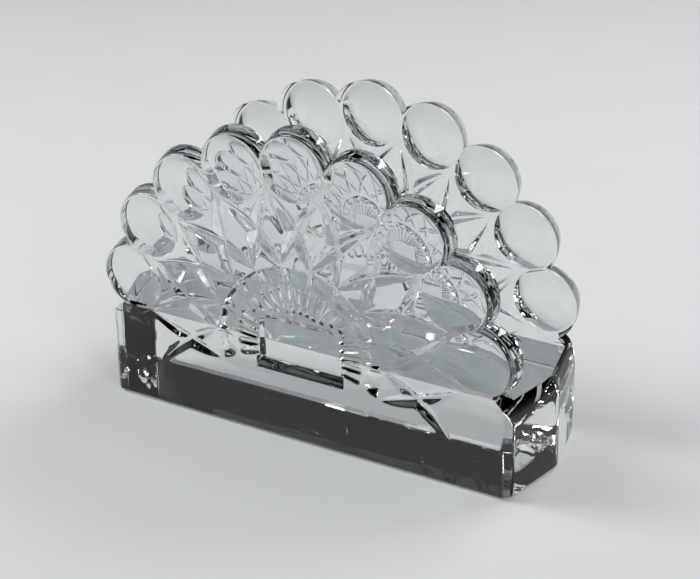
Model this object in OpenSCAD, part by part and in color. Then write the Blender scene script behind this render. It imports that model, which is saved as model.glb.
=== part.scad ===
// A clear glass napkin holder: a block base with two scalloped fans standing on it and a slot between them.
// X runs along the slot, -Y is the front, +Z is up. The origin is under the middle of the block.
// Each outer face is hollowed by a ball, a V-edged wheel, a round-edged wheel and a flat one.

/* [Block] */
// Length of the block from corner to corner along the front
block_l = 152.8; // [150:0.2:158]
// Height of the block, which is also the floor of the slot
block_h = 34; // [33:0.2:35]
// How far each end comes forward to a point beyond the corners
nose = 5.4; // [3:0.2:8]
// How much of each upright corner is cut away
corner_cut = 2; // [1:0.1:3]
// Bevel around the foot
foot_bevel = 1.2; // [0.6:0.1:2]
// Radius of the round shoulder along the top of each end
shoulder_r = 12; // [11:0.2:13]
// How far below the slot floor the shoulder starts to round
shoulder_drop = 8; // [7:0.2:9]

/* [Slot and glass] */
// Width of the slot at its floor
slot_w = 39.4; // [37:0.2:42]
// Thickness of each fan
glass_t = 7.1; // [6.8:0.1:8]
// Outward lean of both fans, in degrees
lean = 1.2; // [0.6:0.1:2]

/* [Lobes] */
// Number of round lobes on each fan
lobe_count = 9; // [7:2:9]
// Angle from one lobe to the next, in degrees
lobe_pitch = 19.8; // [19.6:0.1:20]
// Distance from the hub of the fan to the middle of a lobe at its side
ring_r = 66; // [65.4:0.1:67]
// Height of the ring of lobes as a share of its half width
ring_rise_share = 0.982; // [0.97:0.002:1]
// Height of the hub above the table
hub_h = 35.3; // [34.8:0.1:36]
// Radius of a lobe at the slot side
lobe_r = 13.3; // [12.8:0.1:13.6]
// How much smaller a lobe is at the outer face
lobe_taper = 1.4; // [1:0.1:1.6]
// Flat land on the rim beside the slot face
rim_land = 1; // [0.6:0.1:2]
// Small bevel around each lens
rim_bevel = 0.4; // [0.2:0.05:0.5]
// Radius of the lens hollow in each lobe
lens_r = 11.2; // [10.4:0.1:11.3]
// Depth of the lens hollow
lens_depth = 4.6; // [3:0.1:5]

/* [Leaves] */
// Distance from the hub to the outer tips of the leaves, under the notches
leaf_tip_r = 59.2; // [58:0.2:60]
// Distance from the hub to the crossings of the leaves, under the lobes
cross_r = 45.3; // [44:0.1:46]
// Distance from the hub to the inner tips of the leaves
leaf_foot_r = 32.6; // [32:0.1:33.4]
// Clear glass left between the tips of two cuts
tip_gap = 0.5; // [0.3:0.1:1]
// Width of a leaf at its widest, near its crossing
leaf_w = 5; // [4:0.1:5.4]
// Depth of a leaf
leaf_depth = 2; // [1.4:0.1:2.4]

/* [Olives and flutes] */
// Distance from the hub to the straight side of the olive hollows
olive_ring_r = 30.8; // [30.4:0.1:31.2]
// Length of an olive, across the fan
olive_l = 9.4; // [8.6:0.1:9.6]
// Width of an olive, from its straight side inward
olive_w = 5.8; // [5:0.1:6]
// Depth of an olive
olive_depth = 1.8; // [1:0.1:2]
// Distance from the hub to the middle of the flutes
flute_ring_r = 19.7; // [19.5:0.1:20]
// Length of a flute, pointing at the hub
flute_l = 9; // [8:0.1:9.2]
// Width of a flute
flute_w = 3; // [2.4:0.1:3.1]
// Depth of a flute
flute_depth = 1; // [0.5:0.1:1.2]

/* [Window] */
// Width of the plain window under the flutes
window_w = 28; // [26:0.2:28.4]
// Height of the flat of the window
window_h = 12.5; // [11:0.2:13]
// Depth of the window
window_depth = 1.5; // [0.8:0.1:2]
// Width of the slope above the flat
window_top_slope = 2.8; // [2:0.1:3]
// Width of the slope below the flat
window_foot_slope = 3.6; // [3:0.1:4.2]
// Length of that slope, which runs on past the sides of the window
window_foot_l = 33.6; // [32.8:0.2:34.4]
// Width of the short slope that closes it above, beside the window
window_foot_back = 0.9; // [0.6:0.1:1.2]
// Size of the cut across the two upper corners
window_corner = 2.8; // [2:0.1:4]
// Height of the foot of the window's flat above the table
window_z = 31; // [30.6:0.1:31.6]
// Plain glass between the window and the long groove below it
sill_gap = 0.8; // [0.6:0.1:1.2]
// Length of the long groove
sill_l = 56; // [54:0.5:60]
// Width of the groove
sill_w = 3.6; // [3:0.1:4]
// Depth of the groove
sill_depth = 0.7; // [0.4:0.1:1]

/* [Hidden] */
$fn = 64;

half_pitch = lobe_pitch / 2;
last_lobe = (lobe_count - 1) / 2;
// The faces lean outward, so the glass is wider apart at the slot floor than at the table.
outer_y = slot_w / 2 + glass_t / cos(lean) - block_h * tan(lean);
nose_angle = atan2(nose, outer_y);
nose_x = block_l / 2 + nose;
facet_dist = nose_x * cos(nose_angle);
shoulder_z = block_h - shoulder_drop;
shoulder_steps = 9;
// The web just fills the foot of the notches between the lobes.
web_r = ring_r * cos(half_pitch) + rim_land;
// One overrun serves every cut, and one size is larger than the whole part.
over = glass_t;
room = 4 * ring_r;
// Cuts up to the first angle are on the fans, and from the second one down they are on the block.
fan_reach = (last_lobe + 1.1) * lobe_pitch;
block_from = (last_lobe + 0.4) * lobe_pitch;

// Each station of a cut has its place along the length, then its share of the full width and depth.
leaf_shares = [[0.14, 0.4], [0.28, 0.71], [0.43, 0.94], [0.58, 1], [0.72, 0.88], [0.86, 0.56]];
olive_shares = [[0.07, 0.55], [0.25, 0.9], [0.5, 1], [0.75, 0.9], [0.93, 0.55]];
flute_shares = [[0.07, 0.52], [0.25, 0.87], [0.5, 1], [0.75, 0.87], [0.93, 0.52]];
// The section of each wheel's edge, from one side of the cut to the other, as shares of its width and depth.
v_edge_shares = [[-0.5, 0], [0, -1], [0.5, 0]];
olive_edge_shares = [[-1, 0], [-0.75, -0.49], [-0.55, -0.77], [-0.28, -1], [0, 0]];
round_edge_shares = [[-0.5, 0], [-0.32, -0.66], [0, -1], [0.32, -0.66], [0.5, 0]];

function ring_point(r, a) = [r * sin(a), hub_h + ring_rise_share * r * cos(a)];
function reversed(list) = [for (i = [len(list) - 1 : -1 : 0]) list[i]];
// How far a curved cut through a third point stands off its straight line, halfway along.
function bow(from, via, to) =
    let (run = to - from, at = (via - from) * run / (run * run))
        cross(run, via - from) / norm(run) / (4 * at * (1 - at));

// Puts a drawing on the outer face of the front fan: its Y goes up the glass and its Z points outward.
module on_face() {
    translate([0, -outer_y, 0])
        rotate([90 + lean, 0, 0])
            children();
}

// The hollow that a cutting wheel leaves between two points, pointed at both ends and curved if it has a rise.
// Its skin is a row of sections joined up, closed above the glass by a ridge.
module wheel_cut(from, to, width, depth, stations, edge, rise = 0) {
    run = to - from;
    length = norm(run) - tip_gap;
    m = len(edge) + 1;
    last = m * len(stations) + 1;
    points = concat(
        [[-length / 2, 0, 0]],
        [for (s = stations)
            let (x = (s[0] - 0.5) * length, y = 4 * s[0] * (1 - s[0]) * rise)
                each concat(
                    [for (e = edge) [x, y + e[0] * s[1] * width, e[1] * s[1] * depth]],
                    [[x, y, over * s[1]]])],
        [[length / 2, 0, 0]]
    );
    faces = concat(
        [for (j = [0 : m - 1]) [0, 1 + j, 1 + (j + 1) % m]],
        [for (i = [1 : len(stations) - 1], j = [0 : m - 1])
            let (a = m * (i - 1) + 1 + j, b = m * (i - 1) + 1 + (j + 1) % m)
                each [[a, a + m, b + m], [a, b + m, b]]],
        [for (j = [0 : m - 1]) [last, last - m + (j + 1) % m, last - m + j]]
    );
    translate([(from[0] + to[0]) / 2, (from[1] + to[1]) / 2, 0])
        rotate([0, 0, atan2(run[1], run[0])])
            polyhedron(points, faces);
}

// The cuts of one face whose angle from upright lies between two limits: under each lobe two leaves that cross,
// one olive and two flutes. A leaf runs from under one notch, past the lobe, to under the next notch.
module face_cuts(low, high) {
    for (k = [-last_lobe - 1 : last_lobe + 1]) {
        a = k * lobe_pitch;
        if (abs(a) >= low && abs(a) <= high) {
            for (turn = [-half_pitch, half_pitch]) {
                tip = ring_point(leaf_tip_r, a + turn);
                foot = ring_point(leaf_foot_r, a - turn);
                wheel_cut(tip, foot, leaf_w, leaf_depth, leaf_shares, v_edge_shares,
                    bow(tip, ring_point(cross_r, a), foot));
            }
            middle = ring_point(olive_ring_r, a);
            along = [cos(a), -sin(a)] * (olive_l + tip_gap) / 2;
            wheel_cut(middle - along, middle + along, olive_w, olive_depth, olive_shares, olive_edge_shares);
        }
        for (b = [a - half_pitch / 2, a + half_pitch / 2])
            if (abs(b) >= low && abs(b) <= high) {
                middle = ring_point(flute_ring_r, b);
                along = [sin(b), cos(b)] * (flute_l + tip_gap) / 2;
                wheel_cut(middle - along, middle + along, flute_w, flute_depth, flute_shares, round_edge_shares);
            }
    }
}

// The plain window: a flat with a slope above and below it and its upper corners cut across.
module window_cut() {
    top = window_z + window_h + window_top_slope;
    foot = window_z - window_foot_slope;
    shoulder = window_z + window_h - window_corner;
    narrow = window_w / 2 - window_corner - window_top_slope;
    intersection() {
        rotate([90, 0, 90])
            translate([0, 0, -window_w / 2])
                linear_extrude(window_w)
                    polygon([
                        [foot, 0], [window_z, -window_depth], [window_z + window_h, -window_depth],
                        [top, 0], [top, over], [foot, over]
                    ]);
        translate([0, 0, -over])
            linear_extrude(3 * over)
                polygon([
                    [-window_w / 2, foot], [window_w / 2, foot], [window_w / 2, shoulder],
                    [narrow, top], [-narrow, top], [-window_w / 2, shoulder]
                ]);
    }
}

// A straight groove of two slopes, from a low edge to a high one, deepest at a height between them.
module groove_cut(length, low, deepest, high, depth) {
    translate([-length / 2, 0, 0])
        rotate([90, 0, 90])
            linear_extrude(length)
                polygon([[low, 0], [deepest, -depth], [high, 0], [deepest, over]]);
}

// The slope under the window and, lower down, the long groove, which is steep on its lower side.
module foot_cuts() {
    foot = window_z - window_foot_slope;
    groove_cut(window_foot_l, foot, window_z, window_z + window_foot_back, window_depth);
    groove_cut(sill_l, foot - sill_gap - sill_w, foot - sill_gap - 3 * sill_w / 4, foot - sill_gap, sill_depth);
}

// One half of the front view that an end facet sees: a bevelled foot, an upright wall and a round shoulder.
function end_points(side) = concat(
    [[side * (facet_dist - foot_bevel - over), -over], [side * facet_dist, foot_bevel]],
    [for (i = [0 : shoulder_steps])
        [side * (facet_dist - shoulder_r + shoulder_r * cos(90 * i / shoulder_steps)),
            shoulder_z + shoulder_r * sin(90 * i / shoulder_steps)]]
);

// The front view drawn out along the two end facets that share a bearing.
module loaf(bearing) {
    rotate([90, 0, bearing])
        translate([0, 0, -room / 2])
            linear_extrude(room)
                polygon(concat(end_points(1), reversed(end_points(-1))));
}

// The end view, drawn out along the slot: a bevelled foot and two faces that lean outward.
module end_view() {
    rotate([90, 0, 90])
        translate([0, 0, -room / 2])
            linear_extrude(room)
                polygon([
                    [over + foot_bevel - outer_y, -over],
                    [outer_y - foot_bevel - over, -over],
                    [outer_y + foot_bevel * tan(lean), foot_bevel],
                    [outer_y + room * tan(lean), room],
                    [-outer_y - room * tan(lean), room],
                    [-outer_y - foot_bevel * tan(lean), foot_bevel]
                ]);
}

// The plan of the block, a box with its four upright corners cut off, from one height to another.
module plan(low, high) {
    reach_x = nose_x + over;
    reach_y = outer_y + over;
    cut = block_l / 2 + outer_y - corner_cut;
    translate([0, 0, low])
        linear_extrude(high - low)
            polygon([
                [cut - reach_y, -reach_y], [reach_x, reach_x - cut],
                [reach_x, cut - reach_x], [cut - reach_y, reach_y],
                [reach_y - cut, reach_y], [-reach_x, cut - reach_x],
                [-reach_x, reach_x - cut], [reach_y - cut, -reach_y]
            ]);
}

// One lobe with a sloping rim, drawn about its own axis.
module lobe() {
    rotate_extrude()
        polygon([
            [0, -glass_t],
            [lobe_r, -glass_t],
            [lobe_r, rim_land - glass_t],
            [lobe_r - lobe_taper, -rim_bevel],
            [lobe_r - lobe_taper - rim_bevel, 0],
            [0, 0]
        ]);
}

// The ball that hollows out a lens.
module lens_ball() {
    ball_r = (lens_r * lens_r + lens_depth * lens_depth) / (2 * lens_depth);
    translate([0, 0, ball_r - lens_depth])
        sphere(r = ball_r);
}

module at_lobes() {
    for (k = [-last_lobe : last_lobe])
        translate(concat(ring_point(ring_r, k * lobe_pitch), [0]))
            children();
}

// A fan in front of the slot: a round web, the lobes and a foot that carries on the block's shoulders.
module fan() {
    difference() {
        intersection() {
            union() {
                on_face() {
                    translate([0, hub_h, -glass_t])
                        cylinder(h = glass_t, r = web_r);
                    at_lobes()
                        lobe();
                }
                intersection() {
                    plan(block_h - over, block_h + over);
                    loaf(nose_angle);
                    loaf(-nose_angle);
                    on_face()
                        translate([-room / 2, 0, -glass_t])
                            cube([room, room, glass_t]);
                }
            }
            translate([-room / 2, -room / 2, block_h])
                cube(room);
        }
        on_face() {
            at_lobes()
                lens_ball();
            window_cut();
            face_cuts(0, fan_reach);
        }
    }
}

module base() {
    color([0.86, 0.9, 0.92])
        difference() {
            intersection() {
                plan(0, block_h);
                loaf(nose_angle);
                loaf(-nose_angle);
                end_view();
            }
            for (turn = [0, 180])
                rotate([0, 0, turn])
                    on_face() {
                        window_cut();
                        foot_cuts();
                        face_cuts(block_from, room);
                    }
        }
}

module front_fan() {
    color([0.8, 0.87, 0.9])
        fan();
}

module rear_fan() {
    color([0.72, 0.82, 0.86])
        rotate([0, 0, 180])
            fan();
}

base();
front_fan();
rear_fan();
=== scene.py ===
# %% [markdown]
# # A cut-glass napkin holder
# The real holder is one heavy pressing of clear crystal: a block with two scalloped fans on it and a slot
# between them for napkins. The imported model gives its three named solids. This lesson dresses them as
# polished glass, with every lens, leaf, olive and flute of the cut pattern as real geometry, because
# glass shows its shape only by what it bends and mirrors.

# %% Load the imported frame
import math

import bmesh
import bpy
import numpy as np
from mathutils import Matrix, Vector


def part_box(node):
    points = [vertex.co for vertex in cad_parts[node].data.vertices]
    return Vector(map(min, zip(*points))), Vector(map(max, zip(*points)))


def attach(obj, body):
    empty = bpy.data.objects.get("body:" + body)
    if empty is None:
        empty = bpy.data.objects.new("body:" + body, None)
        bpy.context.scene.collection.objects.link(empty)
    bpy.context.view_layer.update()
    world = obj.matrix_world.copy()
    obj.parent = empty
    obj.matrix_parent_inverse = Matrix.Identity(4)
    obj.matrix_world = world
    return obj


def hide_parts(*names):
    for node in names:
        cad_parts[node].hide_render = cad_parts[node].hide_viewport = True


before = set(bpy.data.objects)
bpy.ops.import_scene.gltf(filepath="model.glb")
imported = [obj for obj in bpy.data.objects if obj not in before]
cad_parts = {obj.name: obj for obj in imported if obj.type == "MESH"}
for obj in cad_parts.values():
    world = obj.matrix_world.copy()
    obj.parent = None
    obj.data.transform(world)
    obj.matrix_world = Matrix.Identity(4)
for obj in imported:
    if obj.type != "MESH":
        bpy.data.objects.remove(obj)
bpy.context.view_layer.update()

MM = 0.001
base_low, base_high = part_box("base")
fan_low, fan_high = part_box("front_fan")
print("its block in mm:", [round(s / MM, 2) for s in base_high - base_low])
print("its front fan in mm:", [round(s / MM, 2) for s in fan_high - fan_low])

# %% [markdown]
# ## Sizes
# All lengths below are in millimetres. The outer ones come from the frame, so that the glass stays where
# the CAD model is. The others are the cutter's own settings: where the wheel goes, how wide it cuts and
# how deep. The front face leans outward a little, so a place on it is given by x, along the slot, and z,
# above the table. The hub is the point that all the rings of the pattern go round.

# %% Sizes of the block
BLOCK_H = base_high.z / MM
NOSE_X = base_high.x / MM
NOSE = 5.4
LEAN_ANGLE = math.radians(1.2)
LEAN = math.tan(LEAN_ANGLE)
GLASS_T = 7.1 / math.cos(LEAN_ANGLE)
SLOT_HALF = 19.7
CORNER_CUT = 2.0
FOOT_BEVEL = 1.2
SHOULDER_R = 12.0
SHOULDER_Z = 26.0

OUTER_Y = SLOT_HALF + GLASS_T - BLOCK_H * LEAN
NOSE_SLOPE = NOSE / OUTER_Y
BLOCK_CORNER = NOSE_X - NOSE
CORNER_SUM = BLOCK_CORNER + OUTER_Y - CORNER_CUT
print(f"the outer faces are {2 * OUTER_Y:.1f} mm apart at the table")
print(f"the glass of a fan is {GLASS_T:.2f} mm thick")

# %% Sizes of the lobes
HUB_Z = 35.3
RING_R = 66.0
RING_RISE = 0.982
LOBES = 9
SIDE_LOBES = LOBES // 2
LOBE_PITCH = math.radians(19.8)
LENS_R = 11.12
LENS_DEPTH = 3.1

# %% [markdown]
# ## The cut pattern as a height map
# A wheel that touches a flat face leaves a hollow: a V-edged wheel a leaf, a round-edged wheel an olive
# or a flute, a ball a lens. One way to model this is to subtract a solid for each cut, but booleans leave
# long thin triangles, and polished glass shows them all. Here each cut is a formula instead: its depth at
# a place on the face, less than zero outside the cut. The deepest cut wins at each place, and a small
# rounding where two of them meet is the softness that fire polishing gives every edge.

# %% Places and distances on a face
def ring_point(radius, angle):
    """The place at a radius and an angle from upright round the hub, on a ring a little flatter than
    round."""
    return np.array([radius * math.sin(angle), HUB_Z + RING_RISE * radius * math.cos(angle)])


def soft_max(a, b, edge):
    """The larger of two heights, rounded where they meet: half of their sum, plus half the root of
    (difference squared plus edge squared)."""
    return 0.5 * (a + b + np.sqrt((a - b) ** 2 + edge**2))


def cut_axes(x, z, start, end):
    """Each point's share of the way from start to end, kept between 0 and 1, how far it lies beyond
    either end, and how far off the line."""
    run = end - start
    length = np.hypot(*run)
    share = ((x - start[0]) * run[0] + (z - start[1]) * run[1]) / length**2
    inside = np.clip(share, 0, 1)
    across = ((x - start[0]) * run[1] - (z - start[1]) * run[0]) / length
    return inside, np.abs(share - inside) * length, across


# %% Leaves
LEAF_SWELL = 1.18
LEAF_FULLNESS = 0.8
VALLEY_ROUND = 0.34


def leaf(x, z, start, bend, end, width, depth):
    """A V-shaped cut that curves through its bend: depth times (petal less distance from the midline over
    half the width). The midline stands off the chord by a parabola. The petal is a power of the sine of
    pi times a power of the share, so that the cut is widest and deepest where it crosses its neighbour,
    and runs out at both ends."""
    share, beyond, across = cut_axes(x, z, start, end)
    at_bend, _, off_chord = cut_axes(bend[0], bend[1], start, end)
    curve = off_chord * share * (1 - share) / (at_bend * (1 - at_bend))
    petal = np.sin(math.pi * share**LEAF_SWELL) ** LEAF_FULLNESS
    off = np.hypot(across - curve, VALLEY_ROUND) + beyond
    return depth * (petal - 2 * off / width)


# %% Flutes and olives
OLIVE_SQUARENESS = 3.4
OLIVE_WALL = 2.6
CREST_ROUND = 0.26


def flute(x, z, start, end, width, depth):
    """A round-bottomed groove with round ends: depth times (1 less the square of the distance from its
    midline over half the width)."""
    run = end - start
    reach = 0.5 * width / np.hypot(*run)
    _, beyond, across = cut_axes(x, z, start + run * reach, end - run * reach)
    return depth * (1 - (2 * np.hypot(across, beyond) / width) ** 2)


def olive(x, z, start, end, width, depth):
    """A bowl cut off straight along its outer side. The bowl is depth times (1 less a power of the share
    of the way to either end, less the square of the distance inward over the width). The straight side is
    a steep plane."""
    share, beyond, across = cut_axes(x, z, start, end)
    along = np.abs(2 * share - 1) + 2 * beyond / np.hypot(*(end - start))
    bowl = depth * (1 - along**OLIVE_SQUARENESS - np.abs(across / width) ** 2)
    return -soft_max(-bowl, -OLIVE_WALL * across, CREST_ROUND)


# %% [markdown]
# The places of the cuts repeat with the lobes. Each leaf starts in a tip under a notch, crosses its
# mirror image under a lobe, where both are widest, and runs out on the next ring in. The crossings leave
# a lattice of plain diamonds and triangles. A ring of straight-sided olives and one of flutes close the
# pattern round the plain window, and the flutes stop short where they would run into it. The reach of the
# window is how far its edge lies from the hub, sideways and upward. An olive is given by its length, width
# and depth. A leaf or a flute runs from one ring to another, so it has only a width and a depth.

# %% Where the wheel goes
LEAF_TIP_R = 59.2
CROSS_R = 43.9
INNER_CROSS_R = 31.8
OLIVE_R = 30.3
FLUTE_R = (13.9, 23.9)
WINDOW_REACH = (15.4, 12.3)
LEAF = (5.1, 2.1)
OLIVE = (9.6, 5.6, 2.4)
FLUTE = (2.7, 1.15)
LEAST_COSINE = 0.01


def wheel_cuts():
    """Every cut of one face as its shape and that shape's settings: under each lobe one olive, two flutes
    and two crossing leaves. The lowest lobe of each side is followed by one more set, part of which runs
    into the block. A flute starts where its ray leaves the window, or on its own ring if that is further
    out."""
    cuts = []
    half = LOBE_PITCH / 2
    for step in range(-SIDE_LOBES - 1, SIDE_LOBES + 2):
        angle = step * LOBE_PITCH
        beside = np.array([math.cos(angle), -math.sin(angle)])
        middle = ring_point(OLIVE_R, angle)
        cuts.append((olive, middle - beside * OLIVE[0] / 2, middle + beside * OLIVE[0] / 2, *OLIVE[1:]))
        for turn in (-half, half):
            away = abs(angle + turn / 2)
            to_side = WINDOW_REACH[0] / math.sin(away)
            to_top = WINDOW_REACH[1] / max(math.cos(away), LEAST_COSINE)
            foot = ring_point(max(FLUTE_R[0], min(to_side, to_top)), angle + turn / 2)
            cuts.append((flute, foot, ring_point(FLUTE_R[1], angle + turn / 2), *FLUTE))
            tip = ring_point(LEAF_TIP_R, angle + turn)
            inner = ring_point(INNER_CROSS_R, angle - turn)
            cuts.append((leaf, tip, ring_point(CROSS_R, angle), inner, *LEAF))
    return cuts


WHEEL_CUTS = wheel_cuts()
LOBE_CENTRES = [ring_point(RING_R, k * LOBE_PITCH) for k in range(-SIDE_LOBES, SIDE_LOBES + 1)]
print(f"{len(WHEEL_CUTS)} wheel cuts and {LOBES} lenses on each face")

# %% [markdown]
# The block's lower face is the outermost surface. Above it the whole pattern lies on a ground that is a
# little further back: the face slopes inward from a soft line above the foot, and the lowest leaves hide
# the slope where they cross that line. The plain window is a deeper flat in that ground, with a slope
# above it and a wider one below it, steep enough to stand out as a band of its own.

# %% The ground of the pattern
GROUND_DEPTH = 0.5
GROUND_LINE = [(0, 23.6), (27.5, 23.6), (32, 25.6), (38, 26.6), (43.6, 28.6)]
GROUND_LINE += [(50.8, 20.8), (53.6, 24.8), (90, 24.8)]
GROUND_BLUR = (-1.2, -0.6, 0, 0.6, 1.2)
GROUND_RUN = 3.8
GROUND_ROUND = 0.1


def ground(x, z):
    """The step back from the lower face to the ground of the pattern: a straight ramp above a line that
    follows the window's foot, and bends up and down again along the two lowest leaves. The line is the
    mean of a few copies of itself set a little to either side, which softens its bends."""
    line_x, line_z = np.transpose(GROUND_LINE)
    line = np.mean([np.interp(np.abs(x) + step, line_x, line_z) for step in GROUND_BLUR], axis=0)
    share = (z - line) / GROUND_RUN
    return GROUND_DEPTH * (soft_max(share, 0, GROUND_ROUND) - soft_max(share - 1, 0, GROUND_ROUND))


# %% The window
WINDOW_HALF = 14.6
WINDOW_LOW, WINDOW_HIGH = 28.9, 43.5
WINDOW_DEPTH = 1.9
FOOT_RUN, TOP_RUN, SIDE_RUN = 3.3, 2.8, 1.2
WINDOW_CORNER = 1.0
FOOT_HALF = 16.8
FOOT_BACK = 0.9


def window(x, z):
    """The window's depth times the least of 1 and four planes that slope up from 0 at its edge: foot,
    top, side and cut corner."""
    side = np.abs(x)
    planes = [
        (z - WINDOW_LOW + FOOT_RUN) / FOOT_RUN,
        (WINDOW_HIGH + TOP_RUN - z) / TOP_RUN,
        (WINDOW_HALF + SIDE_RUN / 2 - side) / SIDE_RUN,
        (WINDOW_HALF + WINDOW_HIGH - WINDOW_CORNER + SIDE_RUN - side - z) / SIDE_RUN,
    ]
    return WINDOW_DEPTH * np.minimum(1, np.min(planes, axis=0))


def window_foot(x, z):
    """The slope under the window, carried on past its sides as a groove of two slopes that meet at the
    deepest line, and closed at both ends by a short slope."""
    low = WINDOW_LOW - FOOT_RUN
    high = WINDOW_LOW + FOOT_BACK
    planes = [(z - low) / (WINDOW_LOW - low), (high - z) / (high - WINDOW_LOW), FOOT_HALF - np.abs(x)]
    return WINDOW_DEPTH * np.min(planes, axis=0)


# %% The lenses, and all the cuts together
def lens(x, z, centre):
    """A ball's hollow: its depth below the face inside the lens, and a steady fall outside it."""
    ball_r = (LENS_R**2 + LENS_DEPTH**2) / (2 * LENS_DEPTH)
    r = np.hypot(x - centre[0], z - centre[1])
    inside = np.sqrt(np.maximum(ball_r**2 - np.minimum(r, LENS_R) ** 2, 0)) - (ball_r - LENS_DEPTH)
    return inside - np.maximum(r - LENS_R, 0)


def cut_depth(x, z):
    """How deep the finished face lies behind the block's lower one at x, z: the ground, and on it the
    deepest of all cuts. The wheel cuts are joined by soft_max and kept over zero, and the lenses keep
    sharp rims."""
    depth = np.maximum(window(x, z), window_foot(x, z))
    for shape, *settings in WHEEL_CUTS:
        depth = soft_max(depth, shape(x, z, *settings), CREST_ROUND)
    depth = soft_max(depth, 0, CREST_ROUND)
    for centre in LOBE_CENTRES:
        depth = np.maximum(depth, lens(x, z, centre))
    return ground(x, z) + depth


# %% [markdown]
# ## From arrays to closed meshes
# Each piece is a set of grids whose rows and columns are worked out as whole arrays. One helper turns a
# grid into four-sided faces. A second one builds a piece from its points, faces and flat outlines. A
# third one merges the points that they share, turns all faces outward and marks the sharp edges.

# %% Mesh helpers
MERGE_MM = 0.001
SHARP_DEGREES = 38


def grid_faces(rows, columns):
    """Vertex numbers of every four-sided face of a grid stored row by row."""
    numbers = np.arange(rows * columns).reshape(rows, columns)
    corners = [numbers[:-1, :-1], numbers[:-1, 1:], numbers[1:, 1:], numbers[1:, :-1]]
    return np.stack(corners, axis=-1).reshape(-1, 4)


def make_piece(name, points, quads, outlines, materials):
    """A closed mesh object from points in mm, quads, and outlines as (vertex numbers, material
    number)."""
    mesh = bpy.data.meshes.new(name)
    faces = quads.tolist() + [list(numbers) for numbers, _ in outlines]
    mesh.from_pydata((points * MM).tolist(), [], faces)
    kinds = np.zeros(len(faces), np.int32)
    kinds[len(quads):] = [kind for _, kind in outlines]
    mesh.polygons.foreach_set("material_index", kinds)
    for material in materials:
        mesh.materials.append(material)
    piece = bpy.data.objects.new(name, mesh)
    bpy.context.scene.collection.objects.link(piece)
    close_mesh(mesh)
    triangles = sum(len(p.vertices) - 2 for p in mesh.polygons)
    print(f"{name}: {len(mesh.vertices)} vertices, {triangles} triangles")
    return piece


def close_mesh(mesh):
    """Merges points that lie together, drops faces without area, faces all outward, and shades all but
    the flat outlines smoothly between the sharp edges."""
    work = bmesh.new()
    work.from_mesh(mesh)
    bmesh.ops.remove_doubles(work, verts=work.verts, dist=MERGE_MM * MM)
    bmesh.ops.dissolve_degenerate(work, edges=work.edges, dist=MERGE_MM / 2 * MM)
    bmesh.ops.recalc_face_normals(work, faces=work.faces)
    open_edges = sum(not e.is_manifold for e in work.edges)
    work.to_mesh(mesh)
    work.free()
    mesh.shade_smooth()
    mesh.set_sharp_from_angle(angle=math.radians(SHARP_DEGREES))
    corners = np.zeros(len(mesh.polygons), np.int32)
    mesh.polygons.foreach_get("loop_total", corners)
    mesh.polygons.foreach_set("use_smooth", corners <= 4)
    print(f"open or doubled edges: {open_edges}")


# %% [markdown]
# ## The finish: polished lead crystal
# Cut crystal is pressed hot, cut, and polished until it is clear. It bends light more than window glass:
# its index is about 1.545. The eye reads it by bright and dark streaks at each edge. Its faces are never
# quite flat, so a very low, wide bump gives the slow waver that polished glass has, and a second finer
# one the faint ripple left by the felt wheel. The glass has a trace of cool grey, as thick glass has.

# %% Colours and nodes
def linear(hex_colour):
    """The linear colour of an sRGB hex value: each channel over 255, then (c + 0.055) / 1.055 to the
    power 2.4, or c / 12.92 where it is very dark."""
    channels = [int(hex_colour[i : i + 2], 16) / 255 for i in (0, 2, 4)]
    return tuple([c / 12.92 if c <= 0.04045 else ((c + 0.055) / 1.055) ** 2.4 for c in channels] + [1.0])


def add_node(tree, kind, links=None, **settings):
    """Adds a node, sets its properties or its inputs by name, and links inputs to the given sockets."""
    node = tree.nodes.new(kind)
    for name, value in settings.items():
        if hasattr(node, name):
            setattr(node, name, value)
        else:
            node.inputs[name.replace("_", " ")].default_value = value
    for name, socket in (links or {}).items():
        tree.links.new(socket, node.inputs[name])
    return node


def new_material(name):
    """An empty material with its node tree."""
    material = bpy.data.materials.new(name)
    material.use_nodes = True
    material.node_tree.nodes.clear()
    return material, material.node_tree


# %% Polished crystal
CRYSTAL_IOR = 1.545
CRYSTAL_TINT = "F3F6F6"
VEIL_FACE_ON = "F6F8F8"
VEIL_EDGE_ON = "70757A"
WAVER_MM, WAVER_HEIGHT_MM = 14.0, 0.07
RIPPLE_MM, RIPPLE_HEIGHT_MM = 1.6, 0.003


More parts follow.
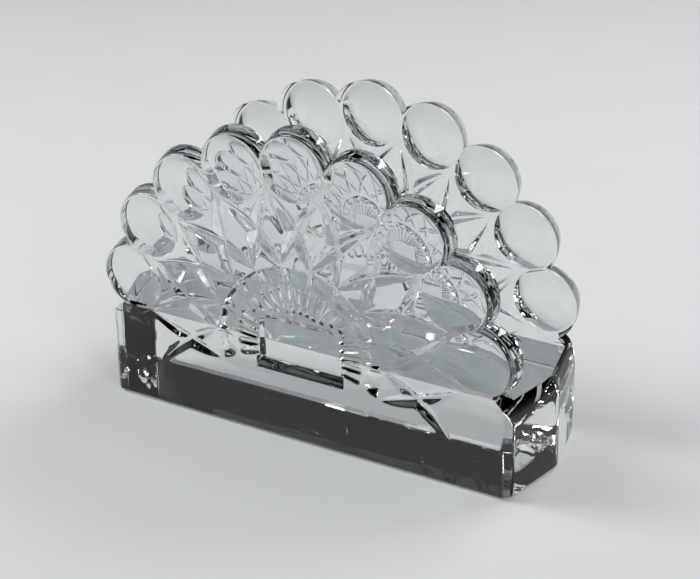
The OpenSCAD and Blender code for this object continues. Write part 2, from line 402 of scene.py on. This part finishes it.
def polished_crystal():
    """Clear glass with a slow waver and a fine ripple in its surface. To a lamp it is a veil that is
    clear face on and grey edge on, so that the shadow shows the cuts."""
    material, tree = new_material("polished_lead_crystal")
    place = add_node(tree, "ShaderNodeTexCoord").outputs["Object"]
    waver = add_node(tree, "ShaderNodeTexNoise", {"Vector": place}, Scale=1 / (WAVER_MM * MM), Detail=1.0)
    ripple = add_node(tree, "ShaderNodeTexNoise", {"Vector": place}, Scale=1 / (RIPPLE_MM * MM), Detail=2.0)
    slow = add_node(
        tree,
        "ShaderNodeBump",
        {"Height": waver.outputs["Fac"]},
        Strength=1.0,
        Distance=WAVER_HEIGHT_MM * MM,
    )
    fine = add_node(
        tree,
        "ShaderNodeBump",
        {"Height": ripple.outputs["Fac"], "Normal": slow.outputs["Normal"]},
        Strength=1.0,
        Distance=RIPPLE_HEIGHT_MM * MM,
    )
    glass = add_node(
        tree,
        "ShaderNodeBsdfPrincipled",
        {"Normal": fine.outputs["Normal"]},
        Base_Color=linear(CRYSTAL_TINT),
        Roughness=0.0,
        IOR=CRYSTAL_IOR,
        Transmission_Weight=1.0,
    )
    edge_on = add_node(tree, "ShaderNodeLayerWeight", {"Normal": fine.outputs["Normal"]}, Blend=0.35)
    veil = add_node(tree, "ShaderNodeMix", {"Factor": edge_on.outputs["Facing"]}, data_type="RGBA")
    veil.inputs["A"].default_value = linear(VEIL_FACE_ON)
    veil.inputs["B"].default_value = linear(VEIL_EDGE_ON)
    through = add_node(tree, "ShaderNodeBsdfTransparent", {"Color": veil.outputs["Result"]})
    path = add_node(tree, "ShaderNodeLightPath")
    choice = {0: path.outputs["Is Shadow Ray"], 1: glass.outputs[0], 2: through.outputs[0]}
    mix = add_node(tree, "ShaderNodeMixShader", choice)
    add_node(tree, "ShaderNodeOutputMaterial", {"Surface": mix.outputs[0]})
    return material


def unbroken_glass():
    """The plane where two named pieces of the one casting meet. Light goes straight on, as inside solid
    glass."""
    material, tree = new_material("unbroken_glass_inside")
    through = add_node(tree, "ShaderNodeBsdfTransparent", Color=linear("FFFFFF"))
    add_node(tree, "ShaderNodeOutputMaterial", {"Surface": through.outputs[0]})
    return material


CRYSTAL = polished_crystal()
INSIDE = unbroken_glass()
print("materials:", CRYSTAL.name, "and", INSIDE.name)

# %% [markdown]
# ## The fans
# A fan is half a disc of glass with a scalloped edge. A square grid would run across the lens rims and
# leave them jagged. Here every column is a ray from the middle of the slot floor, and the columns gather
# where a lens begins, so that the rim of each lens is itself a line of the grid: rows go from the middle
# to the near side of the lens, across the hollow, over the crest and down the sloping rim to the slot
# side.

# %% Rays and where they meet the lobes
WEB_ROWS = 185
LENS_COLUMNS = 45
LENS_ROWS = 26
FOOT_COLUMNS = 8
GATHER = 0.45


def lobe_places():
    """Each lobe's centre seen from the middle of the slot floor: x, height, angle and distance."""
    centres = np.array(LOBE_CENTRES) - [0, BLOCK_H]
    return centres[:, 0], centres[:, 1], np.arctan2(centres[:, 0], centres[:, 1]), np.hypot(*centres.T)


def ray_circle(x, z, radius, angles):
    """Near and far distance from the middle to a circle along rays at these angles, and which rays meet
    it. The mean of the two is the centre's distance along the ray. Half their gap is the root of the
    radius squared less the square of the centre's distance off the ray."""
    along = x * np.sin(angles) + z * np.cos(angles)
    square = radius**2 - (x**2 + z**2 - along**2)
    half = np.sqrt(np.maximum(square, 0))
    return along - half, along + half, square >= 0


def column_rays():
    """The angle of every column, with the distances at which its ray enters and leaves a lens. Each lens
    has the same number of columns, and they lie closer together towards its two sides."""
    x, z, angle, distance = lobe_places()
    reach = np.arcsin(LENS_R / distance)
    t = np.linspace(-1, 1, LENS_COLUMNS)
    eased = (1 - GATHER) * t + GATHER * np.sin(math.pi / 2 * t)
    foot = np.linspace(math.pi / 2, angle[-1] + reach[-1], FOOT_COLUMNS, endpoint=False)
    side = np.sqrt(distance[-1] ** 2 - LENS_R**2)
    angles, near, far = [-foot], [np.full(FOOT_COLUMNS, side)], [np.full(FOOT_COLUMNS, side)]
    for k in range(LOBES):
        own = angle[k] + reach[k] * eased
        low, high, _ = ray_circle(x[k], z[k], LENS_R, own)
        angles.append(own)
        near.append(low)
        far.append(high)
    angles.append(foot[::-1])
    near.append(near[0])
    far.append(far[0])
    return np.concatenate(angles), np.concatenate(near), np.concatenate(far)


# %% [markdown]
# The fan's edge is the far side of the outermost lobe. Low down at each side it is the block's round
# shoulder instead, which is carried up on to the fan, so that the two pieces look like one casting.

# %% The edge of a fan
RIM_PROFILE = [(11.45, 0.5), (11.72, 0.6), (11.95, 0.9), (12.55, 3.2)]
RIM_PROFILE += [(13.2, 6.0), (13.3, 6.5), (13.2, 6.9), (12.9, GLASS_T)]
SHOULDER_FROM = math.radians(80)
LEAST_SINE = 0.9
SETTLE_STEPS = 20


def shoulder_inset(z):
    """How far the end facets have drawn in at a height: the shoulder's radius less its half chord
    there."""
    up = np.clip(z - SHOULDER_Z, 0, SHOULDER_R)
    return SHOULDER_R - np.sqrt(SHOULDER_R**2 - up**2)


def facet_x(z, y, inset=0.0):
    """x of the end facet at a height and a distance y from the middle: it slopes back from the nose."""
    drawn_in = (inset + shoulder_inset(z)) * math.hypot(1, NOSE_SLOPE)
    return NOSE_X - drawn_in - np.abs(y) * NOSE_SLOPE


def face_y(z):
    """Distance of the plain outer face from the middle of the slot at a height."""
    return OUTER_Y + z * LEAN


def outline(angles, radius, depth):
    """Distance from the middle to the edge of the fan at a depth behind its outer face: the far side of
    the outermost lobe, or the shoulder if that is further. The shoulder's x depends on its height, and
    its height on its distance, so a few rounds are worked out until they agree."""
    x, z, _, _ = lobe_places()
    edge = np.zeros_like(angles)
    for k in range(LOBES):
        _, far, met = ray_circle(x[k], z[k], radius, angles)
        edge = np.maximum(edge, np.where(met, far, 0))
    low = np.abs(angles) > SHOULDER_FROM
    reach = np.full_like(angles, BLOCK_CORNER)
    for _ in range(SETTLE_STEPS):
        height = BLOCK_H + reach * np.cos(angles)
        reach = facet_x(height, face_y(height) - depth) / np.maximum(np.abs(np.sin(angles)), LEAST_SINE)
    return np.where(low, np.maximum(edge, reach), edge)


# %% [markdown]
# The rows of one fan are stacked from the front face, over the rim, to the flat slot side. The lowest
# line of all these rows lies in the plane of the slot floor, and closes the piece as one flat outline.
# The rear fan is the front one turned half a turn.

# %% The fan's mesh
BACK_ROWS = 5
HALF_TURN = np.array([-1.0, -1.0, 1.0])


def fan_rows(angles, near, far):
    """Distance along each ray and depth behind the plain face, as arrays of rows by columns."""
    web = np.linspace(0, 1, WEB_ROWS)[:, None] * near
    swing = -np.cos(math.pi * np.linspace(0, 1, LENS_ROWS))[1:, None]
    bowl = (near + far) / 2 + (far - near) / 2 * swing
    front = np.concatenate([web, bowl])
    x, z = front * np.sin(angles), BLOCK_H + front * np.cos(angles)
    front_depth = cut_depth(x, z)
    rim = np.array([outline(angles, radius, depth) for radius, depth in RIM_PROFILE])
    rim_depth = np.repeat([[depth] for _, depth in RIM_PROFILE], len(angles), axis=1)
    back = np.linspace(1, 0, BACK_ROWS)[1:, None] * rim[-1]
    back_depth = np.full_like(back, GLASS_T)
    return np.concatenate([front, rim, back]), np.concatenate([front_depth, rim_depth, back_depth])


def fan_points():
    """Points of the front fan in mm, its quads, and its lowest outline."""
    angles, near, far = column_rays()
    reach, depth = fan_rows(angles, near, far)
    x = reach * np.sin(angles)
    z = BLOCK_H + reach * np.cos(angles)
    y = depth - face_y(z)
    rows, columns = reach.shape
    points = np.stack([x, y, z], axis=-1).reshape(-1, 3)
    left = np.arange(rows) * columns
    right = left + columns - 1
    edge = WEB_ROWS + LENS_ROWS - 1
    lowest_line = np.concatenate([left[edge - 1 : 0 : -1], right, left[rows - 2 : edge - 1 : -1]])
    return points, grid_faces(rows, columns), lowest_line


def seam_x():
    """The x values of the fan's lowest line on its outer face, from the middle to the block's corner."""
    angles, near, _ = column_rays()
    web = np.linspace(0, 1, WEB_ROWS) * near[-1]
    return np.append(web, outline(angles[-1:], *RIM_PROFILE[0])[0])


FAN_POINTS, FAN_QUADS, FAN_FOOT = fan_points()
FAN_FEET = [(FAN_FOOT, 1)]
front_fan = make_piece("glass_front_fan", FAN_POINTS, FAN_QUADS, FAN_FEET, [CRYSTAL, INSIDE])
rear_fan = make_piece("glass_rear_fan", FAN_POINTS * HALF_TURN, FAN_QUADS, FAN_FEET, [CRYSTAL, INSIDE])

# %% [markdown]
# ## The block
# The block is a stack of outlines, one for each height. Each outline runs along the front, across a
# narrow corner strip and two end facets that meet in a point, and back along the rear. The front and rear
# have the same columns as the lowest line of the fans, so that the cut pattern runs through without a
# step, and the rows are close together only where there is a pattern or a round shoulder. Pressed glass
# has no knife edges, and a soft edge is what catches a line of light, so every upright edge is rounded.
# Each rounded edge also has one column on the flat at either side of it, which keeps the smooth shading
# of the edge from bending the flat. The foot has a narrow straight bevel.

# %% Heights and soft corners
PATTERN_LOW = 14.0
PATTERN_ROWS = 52
FOOT_ROWS = 3
BESIDE_EDGE = 1.2
RUN_LIMIT = 0.4
TINY = 1e-6


def block_heights():
    """Heights of the block's rows, with how far each lies inside the full outline because of the
    bevel."""
    pattern = np.linspace(PATTERN_LOW, BLOCK_H, PATTERN_ROWS)
    foot_z = np.linspace(0, FOOT_BEVEL, FOOT_ROWS)
    foot_inset = FOOT_BEVEL - foot_z
    return np.concatenate([foot_z, pattern]), np.concatenate([foot_inset, np.zeros(PATTERN_ROWS)])


def soft_corner(before, corner, after, run, shares, closed=True):
    """Columns round a corner, with one more on the flat before it and, if closed, one on the flat after
    it: from the corner, (1 - share) squared of the run towards the point before, and share squared of the
    run towards the point after. The run is never more than two fifths of the way to either point."""
    gap_before = np.linalg.norm(before - corner, axis=1)
    gap_after = np.linalg.norm(after - corner, axis=1)
    run = np.minimum(run, RUN_LIMIT * np.minimum(gap_before, gap_after))
    to_before = (before - corner) * (run / np.maximum(gap_before, TINY))[:, None]
    to_after = (after - corner) * (run / np.maximum(gap_after, TINY))[:, None]
    back = np.concatenate([[BESIDE_EDGE], (1 - shares) ** 2, [0] * closed])[None, :, None]
    onward = np.concatenate([[0], shares**2, [BESIDE_EDGE] * closed])[None, :, None]
    return corner[:, None] + back * to_before[:, None] + onward * to_after[:, None]


# %% One quarter of each outline
CORNER_SOFT = 0.7
NOSE_SOFT = 1.6
SOFT_ENDS = 4.0
SOFT_SHARES = np.array([0, 0.25, 0.5, 0.75, 1])
NOSE_SHARES = np.array([0, 0.17, 0.34, 0.5])


def quarter_corners(z, inset):
    """The corners of the right rear quarter of the plain outlines, as x and y for each height: the middle
    of the face, both edges of the corner strip, the slot's side and the nose."""
    face = face_y(z) - inset - ground(BLOCK_CORNER, z)
    corner_sum = CORNER_SUM - inset * math.sqrt(2)
    corner_x = np.minimum(corner_sum - face, facet_x(z, face, inset))
    nose_x = facet_x(z, 0, inset)
    strip_y = np.minimum((corner_sum - nose_x) / (1 - NOSE_SLOPE), face)
    slot_y = np.minimum(face_y(z) - GLASS_T, strip_y)
    nil = np.zeros_like(z)
    corners_x = [nil, corner_x, facet_x(z, strip_y, inset), facet_x(z, slot_y, inset), nose_x]
    corners_y = [face, face, strip_y, slot_y, nil]
    return [np.column_stack(pair) for pair in zip(corners_x, corners_y)]


def quarter_outline(z, inset, seam):
    """x and y of the right rear quarter of the outlines, from the middle of the face to the nose, with
    the cuts in the face. The soft edges grow sharp over the last few millimetres under the slot floor,
    where the fans carry on."""
    middle, edge, strip, slot, nose = quarter_corners(z, inset)
    face = middle[:, 1:]
    wide = seam[:-1][None, :] * np.ones_like(z)[:, None]
    rows = np.repeat(z[:, None], len(seam) - 1, axis=1)
    front = np.stack([wide, face + ground(BLOCK_CORNER, rows) - cut_depth(wide, rows)], axis=-1)
    soft = np.clip((BLOCK_H - z) / SOFT_ENDS, 0, 1)
    edge_columns = soft_corner(middle, edge, strip, CORNER_SOFT * soft, SOFT_SHARES)
    strip_columns = soft_corner(edge, strip, slot, CORNER_SOFT * soft, SOFT_SHARES)
    nose_columns = soft_corner(slot, nose, slot * [1, -1], NOSE_SOFT * soft, NOSE_SHARES, closed=False)
    whole = np.concatenate([front, edge_columns, strip_columns, slot[:, None], nose_columns], axis=1)
    return whole[:, :, 0], whole[:, :, 1]


# %% The block's mesh
def block_points():
    """Points of the block in mm, its quads, and its flat outlines: underside, slot floor, feet of the
    fans."""
    z, inset = block_heights()
    x, y = quarter_outline(z, inset, seam_x())
    last = x.shape[1] - 1
    xs = np.concatenate([x, x[:, last - 1 :: -1], -x[:, 1:], -x[:, last - 1 : 0 : -1]], axis=1)
    ys = np.concatenate([y, -y[:, last - 1 :: -1], -y[:, 1:], y[:, last - 1 : 0 : -1]], axis=1)
    rows, columns = xs.shape
    zs = np.repeat(z[:, None], columns, axis=1)
    points = np.stack([xs, ys, zs], axis=-1).reshape(-1, 3)
    numbers = np.arange(rows * columns).reshape(rows, columns)
    around = np.concatenate([numbers, numbers[:, :1]], axis=1)
    corners = [around[:-1, :-1], around[:-1, 1:], around[1:, 1:], around[1:, :-1]]
    quads = np.stack(corners, axis=-1).reshape(-1, 4)
    top = numbers[-1]
    slot = last - len(NOSE_SHARES) - 1
    rear_foot = np.concatenate([top[-slot:], top[: slot + 1]])
    front_foot = top[2 * last - slot : 2 * last + slot + 1]
    floor = np.concatenate([top[slot : 2 * last - slot + 1], top[2 * last + slot : 4 * last - slot + 1]])
    return points, quads, [(numbers[0][::-1], 0), (floor, 0), (rear_foot, 1), (front_foot, 1)]


BLOCK_POINTS, BLOCK_QUADS, BLOCK_OUTLINES = block_points()
block = make_piece("glass_block", BLOCK_POINTS, BLOCK_QUADS, BLOCK_OUTLINES, [CRYSTAL, INSIDE])

# %% Put the pieces in the frame
for piece, solid in ((block, "base"), (front_fan, "front_fan"), (rear_fan, "rear_fan")):
    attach(piece, "root")
    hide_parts(solid)

# %% [markdown]
# ## The table and the light
# Clear glass is easiest to read on a pale ground under a sky that darkens towards the top: each bent edge
# then shows a dark or a bright line. The world is that sky, the same from every side, and three lamps
# stand in for softboxes. They are near the holder, so the table is a little brighter close by than far
# off.

# %% Table top
TABLE_HALF = 1.5
TABLE_Z = -0.05 * MM
FADE_START = 0.55
MOTTLE_MM = 40.0
PAINT_DARK = "D6D7D8"
PAINT_PALE = "DADBDC"


def table_finish():
    """A matt painted table top, with a very faint mottling a few centimetres across. Further than half a
    metre from its middle it thins out into the sky, so that no hard far edge shows."""
    material, tree = new_material("matt_white_paint")
    place = add_node(tree, "ShaderNodeTexCoord").outputs["Object"]
    mottle = add_node(tree, "ShaderNodeTexNoise", {"Vector": place}, Scale=1 / (MOTTLE_MM * MM), Detail=3.0)
    tone = add_node(tree, "ShaderNodeMix", {"Factor": mottle.outputs["Fac"]}, data_type="RGBA")
    tone.inputs["A"].default_value = linear(PAINT_DARK)
    tone.inputs["B"].default_value = linear(PAINT_PALE)
    paint = add_node(tree, "ShaderNodeBsdfPrincipled", {"Base Color": tone.outputs["Result"]}, Roughness=0.6)
    distance = add_node(tree, "ShaderNodeVectorMath", {"Vector": place}, operation="LENGTH")
    thin = add_node(
        tree,
        "ShaderNodeMapRange",
        {"Value": distance.outputs["Value"]},
        interpolation_type="SMOOTHSTEP",
        From_Min=FADE_START,
        From_Max=TABLE_HALF,
    )
    air = add_node(tree, "ShaderNodeBsdfTransparent", Color=linear("FFFFFF"))
    choice = {0: thin.outputs["Result"], 1: paint.outputs[0], 2: air.outputs[0]}
    mix = add_node(tree, "ShaderNodeMixShader", choice)
    add_node(tree, "ShaderNodeOutputMaterial", {"Surface": mix.outputs[0]})
    return material


table_mesh = bpy.data.meshes.new("table_top")
corners = [(x * TABLE_HALF, y * TABLE_HALF, TABLE_Z) for x, y in ((-1, -1), (1, -1), (1, 1), (-1, 1))]
table_mesh.from_pydata(corners, [], [(0, 1, 2, 3)])
table_mesh.materials.append(table_finish())
table = bpy.data.objects.new("table_top", table_mesh)
bpy.context.scene.collection.objects.link(table)

# %% Sky
SKY_STOPS = [(0.0, "9C9EA0"), (0.28, "1A1C1E"), (0.1, "5A5C5E")]


def studio_sky():
    """A world that is pale at the level of the table and darkens to nearly black some 16 degrees above
    it, where the height of the direction, which is the sine of that angle, is 0.28."""
    world = bpy.data.worlds.new("studio_sky")
    bpy.context.scene.world = world
    world.use_nodes = True
    tree = world.node_tree
    tree.nodes.clear()
    direction = add_node(tree, "ShaderNodeTexCoord").outputs["Generated"]
    height = add_node(tree, "ShaderNodeSeparateXYZ", {"Vector": direction})
    ramp = add_node(tree, "ShaderNodeValToRGB", {"Fac": height.outputs["Z"]})
    stops = ramp.color_ramp.elements
    (low, low_tone), (high, high_tone), (between, between_tone) = SKY_STOPS
    stops[0].position, stops[0].color = low, linear(low_tone)
    stops[1].position, stops[1].color = high, linear(high_tone)
    stops.new(between).color = linear(between_tone)
    background = add_node(tree, "ShaderNodeBackground", {"Color": ramp.outputs["Color"]}, Strength=1.0)
    add_node(tree, "ShaderNodeOutputWorld", {"Surface": background.outputs[0]})


studio_sky()

# %% Lamps
LAMP_AIM = Vector((0, 0, 0.05))


def softbox(name, place, width, height, watts):
    """A rectangular lamp that faces the middle of the holder. Its place and size are in metres."""
    lamp = bpy.data.lights.new(name, "AREA")
    lamp.shape = "RECTANGLE"
    lamp.size, lamp.size_y = width, height
    lamp.energy = watts
    holder = bpy.data.objects.new(name, lamp)
    holder.location = place
    holder.rotation_euler = (LAMP_AIM - Vector(place)).to_track_quat("-Z", "Y").to_euler()
    bpy.context.scene.collection.objects.link(holder)


softbox("softbox_left", (-0.7, -0.22, 0.8), 0.38, 0.64, 8.4)
softbox("softbox_back", (0.25, 0.5, 0.72), 0.5, 0.22, 4.6)
softbox("softbox_right", (0.83, -0.58, 0.96), 0.22, 0.58, 3.3)

# %% [markdown]
# ## The camera
# The camera looks down on one corner from the front right. Its distance and focal length were worked out
# from the perspective of the block's edges and of the two rows of lobes.

# %% Camera
CAMERA_AZIMUTH = math.radians(30.161)
CAMERA_ELEVATION = math.radians(27.001)
CAMERA_ROLL = math.radians(-0.926)
CAMERA_DISTANCE = 646.7 * MM
CAMERA_TARGET = Vector((4.549, 0.0, 47.295)) * MM
SENSOR_MM = 36.0
FOCAL_PIXELS = 1932.3
PHOTO_WIDTH = 700
NEAREST, FURTHEST = 0.01, 50


def make_camera():
    """A camera whose back direction comes from its azimuth and elevation, then rolled about it."""
    flat = Vector((math.sin(CAMERA_AZIMUTH), -math.cos(CAMERA_AZIMUTH), 0))
    back = flat * math.cos(CAMERA_ELEVATION) + Vector((0, 0, math.sin(CAMERA_ELEVATION)))
    level = Vector((math.cos(CAMERA_AZIMUTH), math.sin(CAMERA_AZIMUTH), 0))
    up = back.cross(level)
    right = level * math.cos(CAMERA_ROLL) + up * math.sin(CAMERA_ROLL)
    upright = up * math.cos(CAMERA_ROLL) - level * math.sin(CAMERA_ROLL)
    data = bpy.data.cameras.new("camera")
    data.sensor_width = SENSOR_MM
    data.lens = FOCAL_PIXELS * SENSOR_MM / PHOTO_WIDTH
    data.clip_start, data.clip_end = NEAREST, FURTHEST
    camera = bpy.data.objects.new("camera", data)
    turn = Matrix((right, upright, back)).transposed().to_4x4()
    camera.matrix_world = Matrix.Translation(CAMERA_TARGET + back * CAMERA_DISTANCE) @ turn
    bpy.context.scene.collection.objects.link(camera)
    return camera


camera = make_camera()
bpy.context.scene.camera = camera
print("camera at, in mm:", [round(v / MM) for v in camera.matrix_world.translation])

# %% [markdown]
# ## How far light is followed
# Light that reaches the eye through the two fans has passed many faces of glass, so it is followed
# further than usual. Caustics are off: the veil in the glass makes the soft shadow without their noise.

# %% View and light paths
scene = bpy.context.scene
scene.view_settings.view_transform = "Standard"
scene.cycles.caustics_reflective = False
scene.cycles.caustics_refractive = False
scene.cycles.max_bounces = 24
scene.cycles.transmission_bounces = 24
scene.cycles.transparent_max_bounces = 32
